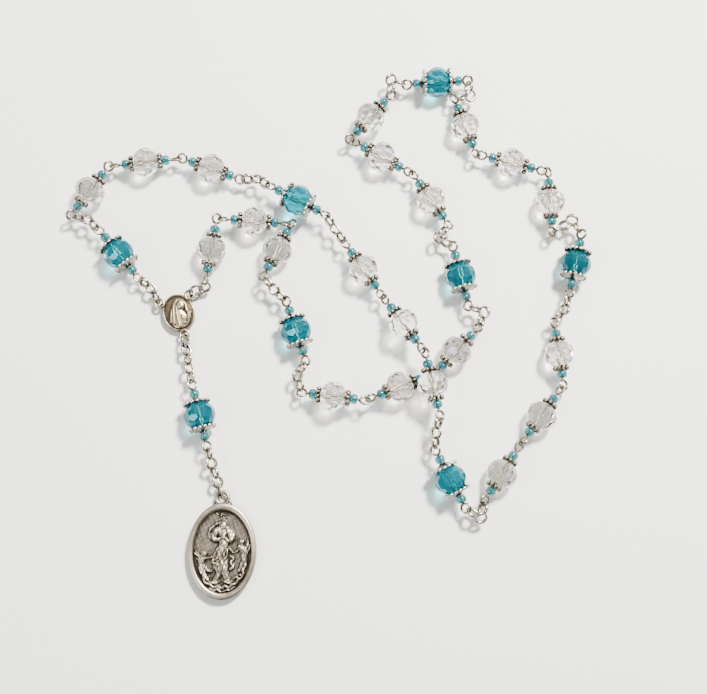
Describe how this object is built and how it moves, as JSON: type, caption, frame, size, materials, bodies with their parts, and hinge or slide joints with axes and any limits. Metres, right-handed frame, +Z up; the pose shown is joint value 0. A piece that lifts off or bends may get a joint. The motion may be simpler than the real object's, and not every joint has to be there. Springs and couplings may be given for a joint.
{
  "type": "rosary",
  "caption": "Beaded chaplet rosary of teal and clear faceted beads on eye pins and short chains, with an oval centrepiece and an oval medal.",
  "frame": {"origin": "centre of the footprint, on the surface that it lies on", "axes": "Z is up, normal to the table; Y points from the medal towards the top of the laid-out loop; X is to the right"},
  "size_m": [0.14, 0.1422, 0.0116],
  "materials": {
    "clear_glass": "faceted crystal, clear with a slight cool tint",
    "teal_glass": "faceted teal glass, translucent",
    "cap_silver": "silver plated wire and caps, dark in the recesses",
    "chain_silver": "bright silver plated round-link chain",
    "dark_steel": "dark gunmetal jump rings",
    "antique_silver": "antique silver, rubbed bright on the high parts",
    "antique_pewter": "antique pewter, polished rim and matte field"
  },
  "bodies": {
    "centrepiece": {"centrepiece": "antique_silver"},
    "jump_ring_left": {"jump_ring_left": "dark_steel"},
    "chain_01": {"chain_01": "chain_silver"},
    "teal_1_pin": {"teal_1_pin": "cap_silver"},
    "teal_1_bead": {"teal_1_bead": "teal_glass"},
    "chain_02": {"chain_02": "chain_silver"},
    "clear_1_1": {"clear_1_1": "clear_glass"},
    "clear_1_2": {"clear_1_2": "clear_glass"},
    "clear_1_3": {"clear_1_3": "clear_glass"},
    "chain_03": {"chain_03": "chain_silver"},
    "teal_2_pin": {"teal_2_pin": "cap_silver"},
    "teal_2_bead": {"teal_2_bead": "teal_glass"},
    "chain_04": {"chain_04": "chain_silver"},
    "clear_2_1": {"clear_2_1": "clear_glass"},
    "clear_2_2": {"clear_2_2": "clear_glass"},
    "clear_2_3": {"clear_2_3": "clear_glass"},
    "chain_05": {"chain_05": "chain_silver"},
    "teal_3_pin": {"teal_3_pin": "cap_silver"},
    "teal_3_bead": {"teal_3_bead": "teal_glass"},
    "chain_06": {"chain_06": "chain_silver"},
    "clear_3_1": {"clear_3_1": "clear_glass"},
    "clear_3_2": {"clear_3_2": "clear_glass"},
    "clear_3_3": {"clear_3_3": "clear_glass"},
    "chain_07": {"chain_07": "chain_silver"},
    "teal_4_pin": {"teal_4_pin": "cap_silver"},
    "teal_4_bead": {"teal_4_bead": "teal_glass"},
    "chain_08": {"chain_08": "chain_silver"},
    "jump_ring_right": {"jump_ring_right": "dark_steel"},
    "chain_09": {"chain_09": "chain_silver"},
    "clear_7_3": {"clear_7_3": "clear_glass"},
    "clear_7_2": {"clear_7_2": "clear_glass"},
    "clear_7_1": {"clear_7_1": "clear_glass"},
    "chain_10": {"chain_10": "chain_silver"},
    "teal_7_pin": {"teal_7_pin": "cap_silver"},
    "teal_7_bead": {"teal_7_bead": "teal_glass"},
    "chain_11": {"chain_11": "chain_silver"},
    "clear_6_3": {"clear_6_3": "clear_glass"},
    "clear_6_2": {"clear_6_2": "clear_glass"},
    "clear_6_1": {"clear_6_1": "clear_glass"},
    "chain_12": {"chain_12": "chain_silver"},
    "teal_6_pin": {"teal_6_pin": "cap_silver"},
    "teal_6_bead": {"teal_6_bead": "teal_glass"},
    "chain_13": {"chain_13": "chain_silver"},
    "clear_5_3": {"clear_5_3": "clear_glass"},
    "clear_5_2": {"clear_5_2": "clear_glass"},
    "clear_5_1": {"clear_5_1": "clear_glass"},
    "chain_14": {"chain_14": "chain_silver"},
    "teal_5_pin": {"teal_5_pin": "cap_silver"},
    "teal_5_bead": {"teal_5_bead": "teal_glass"},
    "chain_15": {"chain_15": "chain_silver"},
    "clear_4_3": {"clear_4_3": "clear_glass"},
    "clear_4_2": {"clear_4_2": "clear_glass"},
    "clear_4_1": {"clear_4_1": "clear_glass"},
    "jump_ring_pendant": {"jump_ring_pendant": "dark_steel"},
    "chain_16": {"chain_16": "chain_silver"},
    "teal_8_pin": {"teal_8_pin": "cap_silver"},
    "teal_8_bead": {"teal_8_bead": "teal_glass"},
    "chain_17": {"chain_17": "chain_silver"},
    "jump_ring_medal": {"jump_ring_medal": "dark_steel"},
    "medal": {"medal": "antique_pewter"}
  },
  "joints": [
    {"name": "jump_ring_left_lift", "type": "hinge", "parent": "centrepiece", "child": "jump_ring_left", "pos_m": [-0.04505, 0.00678, 0.00246], "axis": [-0.8765, -0.4814, 0], "range_deg": [0, 40]},
    {"name": "chain_01_lift", "type": "hinge", "parent": "jump_ring_left", "child": "chain_01", "pos_m": [-0.0459, 0.00833, 0.0027], "axis": [-0.8765, -0.4814, 0], "range_deg": [0, 40]},
    {"name": "teal_1_pin_lift", "type": "hinge", "parent": "chain_01", "child": "teal_1_pin", "pos_m": [-0.04912, 0.01166, 0.00355], "axis": [-0.6296, -0.7769, 0], "range_deg": [0, 40]},
    {"name": "teal_1_bead_spin", "type": "hinge", "parent": "teal_1_pin", "child": "teal_1_bead", "pos_m": [-0.05537, 0.0188, 0.0043], "axis": [-0.6387, 0.7671, 0.0602], "continuous": true},
    {"name": "chain_02_lift", "type": "hinge", "parent": "teal_1_pin", "child": "chain_02", "pos_m": [-0.06161, 0.02599, 0.00475], "axis": [-0.6602, -0.7511, 0], "range_deg": [0, 40]},
    {"name": "clear_1_1_lift", "type": "hinge", "parent": "chain_02", "child": "clear_1_1", "pos_m": [-0.06722, 0.02912, 0.00438], "axis": [0.292, 0.9564, 0], "range_deg": [-40, 40]},
    {"name": "clear_1_2_lift", "type": "hinge", "parent": "clear_1_1", "child": "clear_1_2", "pos_m": [-0.05772, 0.04327, 0.0042], "axis": [0.1104, -0.9939, 0], "range_deg": [0, 40]},
    {"name": "clear_1_3_lift", "type": "hinge", "parent": "clear_1_2", "child": "clear_1_3", "pos_m": [-0.04042, 0.04519, 0.0042], "axis": [-0.1104, 0.9939, 0], "range_deg": [-40, 0]},
    {"name": "chain_03_lift", "type": "hinge", "parent": "clear_1_3", "child": "chain_03", "pos_m": [-0.02239, 0.03948, 0.00431], "axis": [0.0166, 0.9999, 0], "range_deg": [-40, 0]},
    {"name": "teal_2_pin_lift", "type": "hinge", "parent": "chain_03", "child": "teal_2_pin", "pos_m": [-0.01631, 0.03781, 0.00518], "axis": [-0.5001, -0.866, 0], "range_deg": [0, 40]},
    {"name": "teal_2_bead_spin", "type": "hinge", "parent": "teal_2_pin", "child": "teal_2_bead", "pos_m": [-0.00794, 0.03324, 0.0055], "axis": [0.8794, -0.4759, 0.012], "continuous": true},
    {"name": "chain_04_lift", "type": "hinge", "parent": "teal_2_pin", "child": "chain_04", "pos_m": [0.00006, 0.02827, 0.0055], "axis": [-0.8232, -0.5677, 0], "range_deg": [0, 40]},
    {"name": "clear_2_1_lift", "type": "hinge", "parent": "chain_04", "child": "clear_2_1", "pos_m": [0.004, 0.02257, 0.00483], "axis": [0.8232, 0.5677, 0], "range_deg": [-40, 0]},
    {"name": "clear_2_2_lift", "type": "hinge", "parent": "clear_2_1", "child": "clear_2_2", "pos_m": [0.01494, 0.00671, 0.00462], "axis": [0.8232, 0.5677, 0], "range_deg": [-40, 0]},
    {"name": "clear_2_3_lift", "type": "hinge", "parent": "clear_2_2", "child": "clear_2_3", "pos_m": [0.02466, -0.00739, 0.00768], "axis": [-0.8232, -0.5677, 0], "range_deg": [0, 40]},
    {"name": "chain_05_lift", "type": "hinge", "parent": "clear_2_3", "child": "chain_05", "pos_m": [0.02877, -0.02578, 0.00677], "axis": [-0.9716, 0.2368, 0], "range_deg": [-40, 40]},
    {"name": "teal_3_pin_lift", "type": "hinge", "parent": "chain_05", "child": "teal_3_pin", "pos_m": [0.02791, -0.03211, 0.00539], "axis": [0.9994, -0.0338, 0], "range_deg": [-40, 40]},
    {"name": "teal_3_bead_spin", "type": "hinge", "parent": "teal_3_pin", "child": "teal_3_bead", "pos_m": [0.03171, -0.04068, 0.0047], "axis": [0.4624, -0.8846, -0.0602], "continuous": true},
    {"name": "chain_06_lift", "type": "hinge", "parent": "teal_3_pin", "child": "chain_06", "pos_m": [0.0366, -0.0487, 0.00417], "axis": [0.5412, 0.8409, 0], "range_deg": [-40, 40]},
    {"name": "clear_3_1_lift", "type": "hinge", "parent": "chain_06", "child": "clear_3_1", "pos_m": [0.04012, -0.04728, 0.00417], "axis": [0.973, -0.2307, 0], "range_deg": [-40, 40]},
    {"name": "clear_3_2_lift", "type": "hinge", "parent": "clear_3_1", "child": "clear_3_2", "pos_m": [0.05029, -0.0312, 0.0042], "axis": [0.8002, -0.5997, 0], "range_deg": [-40, 40]},
    {"name": "clear_3_3_lift", "type": "hinge", "parent": "clear_3_2", "child": "clear_3_3", "pos_m": [0.06073, -0.01728, 0.0042], "axis": [-0.8002, 0.5997, 0], "range_deg": [-40, 40]},
    {"name": "chain_07_lift", "type": "hinge", "parent": "clear_3_3", "child": "chain_07", "pos_m": [0.06034, 0.0012, 0.00417], "axis": [-0.7876, 0.6162, 0], "range_deg": [-40, 40]},
    {"name": "teal_4_pin_lift", "type": "hinge", "parent": "chain_07", "child": "teal_4_pin", "pos_m": [0.06341, 0.00691, 0.00417], "axis": [0.9491, -0.3149, 0], "range_deg": [-40, 40]},
    {"name": "teal_4_bead_spin", "type": "hinge", "parent": "teal_4_pin", "child": "teal_4_bead", "pos_m": [0.06568, 0.01618, 0.0042], "axis": [0.2261, 0.9741, 0], "continuous": true},
    {"name": "chain_08_lift", "type": "hinge", "parent": "teal_4_pin", "child": "chain_08", "pos_m": [0.06691, 0.02533, 0.00417], "axis": [0.8564, 0.5164, 0], "range_deg": [-40, 40]},
    {"name": "jump_ring_right_lift", "type": "hinge", "parent": "centrepiece", "child": "jump_ring_right", "pos_m": [-0.03555, 0.00869, 0.00246], "axis": [0.4288, -0.9034, 0], "range_deg": [-40, 0]},
    {"name": "chain_09_lift", "type": "hinge", "parent": "jump_ring_right", "child": "chain_09", "pos_m": [-0.03395, 0.00945, 0.0027], "axis": [0.4288, -0.9034, 0], "range_deg": [-40, 0]},
    {"name": "clear_7_3_lift", "type": "hinge", "parent": "chain_09", "child": "clear_7_3", "pos_m": [-0.03235, 0.01155, 0.0031], "axis": [-0.985, 0.1727, 0], "range_deg": [-40, 0]},
    {"name": "clear_7_2_lift", "type": "hinge", "parent": "clear_7_3", "child": "clear_7_2", "pos_m": [-0.02819, 0.02817, 0.00518], "axis": [-0.0467, -0.9989, 0], "range_deg": [-40, 0]},
    {"name": "clear_7_1_lift", "type": "hinge", "parent": "clear_7_2", "child": "clear_7_1", "pos_m": [-0.01089, 0.02736, 0.00343], "axis": [0.0467, 0.9989, 0], "range_deg": [0, 40]},
    {"name": "chain_10_lift", "type": "hinge", "parent": "clear_7_1", "child": "chain_10", "pos_m": [-0.01611, 0.01156, 0.00521], "axis": [0.7736, 0.6337, 0], "range_deg": [0, 40]},
    {"name": "teal_7_pin_lift", "type": "hinge", "parent": "chain_10", "child": "teal_7_pin", "pos_m": [-0.01168, 0.00677, 0.00448], "axis": [-0.6926, -0.7213, 0], "range_deg": [-40, 0]},
    {"name": "teal_7_bead_spin", "type": "hinge", "parent": "teal_7_pin", "child": "teal_7_bead", "pos_m": [-0.0082, -0.00198, 0.00425], "axis": [0.3111, -0.9502, -0.0181], "continuous": true},
    {"name": "chain_11_lift", "type": "hinge", "parent": "teal_7_pin", "child": "chain_11", "pos_m": [-0.00619, -0.01097, 0.00407], "axis": [-0.8857, 0.4642, 0], "range_deg": [0, 40]},
    {"name": "clear_6_3_lift", "type": "hinge", "parent": "chain_11", "child": "clear_6_3", "pos_m": [-0.00687, -0.01706, 0.00415], "axis": [0.9661, 0.2583, 0], "range_deg": [0, 40]},
    {"name": "clear_6_2_lift", "type": "hinge", "parent": "clear_6_3", "child": "clear_6_2", "pos_m": [0.01098, -0.02001, 0.00553], "axis": [-0.3746, 0.9272, 0], "range_deg": [0, 40]},
    {"name": "clear_6_1_lift", "type": "hinge", "parent": "clear_6_2", "child": "clear_6_1", "pos_m": [0.02695, -0.01356, 0.00308], "axis": [0.3746, -0.9272, 0], "range_deg": [-40, 20]},
    {"name": "chain_12_lift", "type": "hinge", "parent": "clear_6_1", "child": "chain_12", "pos_m": [0.03998, -0.00018, 0.00534], "axis": [0.9297, -0.3684, 0], "range_deg": [-15, 40]},
    {"name": "teal_6_pin_lift", "type": "hinge", "parent": "chain_12", "child": "teal_6_pin", "pos_m": [0.03821, 0.00422, 0.00454], "axis": [-0.418, -0.9085, 0], "range_deg": [-40, 40]},
    {"name": "teal_6_bead_spin", "type": "hinge", "parent": "teal_6_pin", "child": "teal_6_bead", "pos_m": [0.03521, 0.01282, 0.00425], "axis": [-0.2255, 0.9741, -0.0181], "continuous": true},
    {"name": "chain_13_lift", "type": "hinge", "parent": "teal_6_pin", "child": "chain_13", "pos_m": [0.03226, 0.02155, 0.00407], "axis": [-0.5104, -0.86, 0], "range_deg": [-40, 40]},
    {"name": "clear_5_3_lift", "type": "hinge", "parent": "chain_13", "child": "clear_5_3", "pos_m": [0.03143, 0.02584, 0.00415], "axis": [0.7941, -0.6077, 0], "range_deg": [-40, 40]},
    {"name": "clear_5_2_lift", "type": "hinge", "parent": "clear_5_3", "child": "clear_5_2", "pos_m": [0.02199, 0.04133, 0.00421], "axis": [0.5061, 0.8625, 0], "range_deg": [-40, 40]},
    {"name": "clear_5_1_lift", "type": "hinge", "parent": "clear_5_2", "child": "clear_5_1", "pos_m": [0.00698, 0.05013, 0.00439], "axis": [-0.5061, -0.8625, 0], "range_deg": [-40, 40]},
    {"name": "chain_14_lift", "type": "hinge", "parent": "clear_5_1", "child": "chain_14", "pos_m": [0.01706, 0.0643, 0.00499], "axis": [-1, 0.0087, 0], "range_deg": [-40, 40]},
    {"name": "teal_5_pin_lift", "type": "hinge", "parent": "chain_14", "child": "teal_5_pin", "pos_m": [0.02024, 0.06669, 0.00441], "axis": [-0.2708, -0.9626, 0], "range_deg": [-40, 40]},
    {"name": "teal_5_bead_spin", "type": "hinge", "parent": "teal_5_pin", "child": "teal_5_bead", "pos_m": [0.02971, 0.06698, 0.00425], "axis": [0.9971, 0.0753, -0.006], "continuous": true},
    {"name": "chain_15_lift", "type": "hinge", "parent": "teal_5_pin", "child": "chain_15", "pos_m": [0.03819, 0.06637, 0.00417], "axis": [-0.9863, -0.165, 0], "range_deg": [-40, 40]},
    {"name": "clear_4_3_lift", "type": "hinge", "parent": "chain_15", "child": "clear_4_3", "pos_m": [0.03551, 0.06251, 0.00417], "axis": [0.186, -0.9826, 0], "range_deg": [-40, 40]},
    {"name": "clear_4_2_lift", "type": "hinge", "parent": "clear_4_3", "child": "clear_4_2", "pos_m": [0.04109, 0.04633, 0.0042], "axis": [0.2609, 0.9654, 0], "range_deg": [-40, 40]},
    {"name": "clear_4_1_lift", "type": "hinge", "parent": "clear_4_2", "child": "clear_4_1", "pos_m": [0.05789, 0.04179, 0.0042], "axis": [-0.2609, -0.9654, 0], "range_deg": [-40, 40]},
    {"name": "jump_ring_pendant_lift", "type": "hinge", "parent": "centrepiece", "child": "jump_ring_pendant", "pos_m": [-0.03746, -0.00356, 0.00246], "axis": [-0.9855, -0.1698, 0], "range_deg": [-40, 40]},
    {"name": "chain_16_swing", "type": "hinge", "parent": "jump_ring_pendant", "child": "chain_16", "pos_m": [-0.03703, -0.00608, 0.00281], "axis": [0.0229, -0.1332, -0.9908], "range_deg": [-40, 40]},
    {"name": "teal_8_pin_lift", "type": "hinge", "parent": "chain_16", "child": "teal_8_pin", "pos_m": [-0.03533, -0.01496, 0.00388], "axis": [-0.9781, -0.2081, 0], "range_deg": [-40, 40]},
    {"name": "teal_8_bead_spin", "type": "hinge", "parent": "teal_8_pin", "child": "teal_8_bead", "pos_m": [-0.03295, -0.02419, 0.00425], "axis": [0.2561, -0.9665, 0.0181], "continuous": true},
    {"name": "chain_17_lift", "type": "hinge", "parent": "teal_8_pin", "child": "chain_17", "pos_m": [-0.0305, -0.03341, 0.00424], "axis": [0.9645, 0.2639, 0], "range_deg": [-40, 40]},
    {"name": "jump_ring_medal_lift", "type": "hinge", "parent": "chain_17", "child": "jump_ring_medal", "pos_m": [-0.02761, -0.04273, 0.00259], "axis": [-0.952, -0.3062, 0], "range_deg": [-40, 40]},
    {"name": "medal_swing", "type": "hinge", "parent": "jump_ring_medal", "child": "medal", "pos_m": [-0.02686, -0.04505, 0.00225], "axis": [-0.043, 0.1338, -0.9901], "range_deg": [-40, 40]}
  ]
}
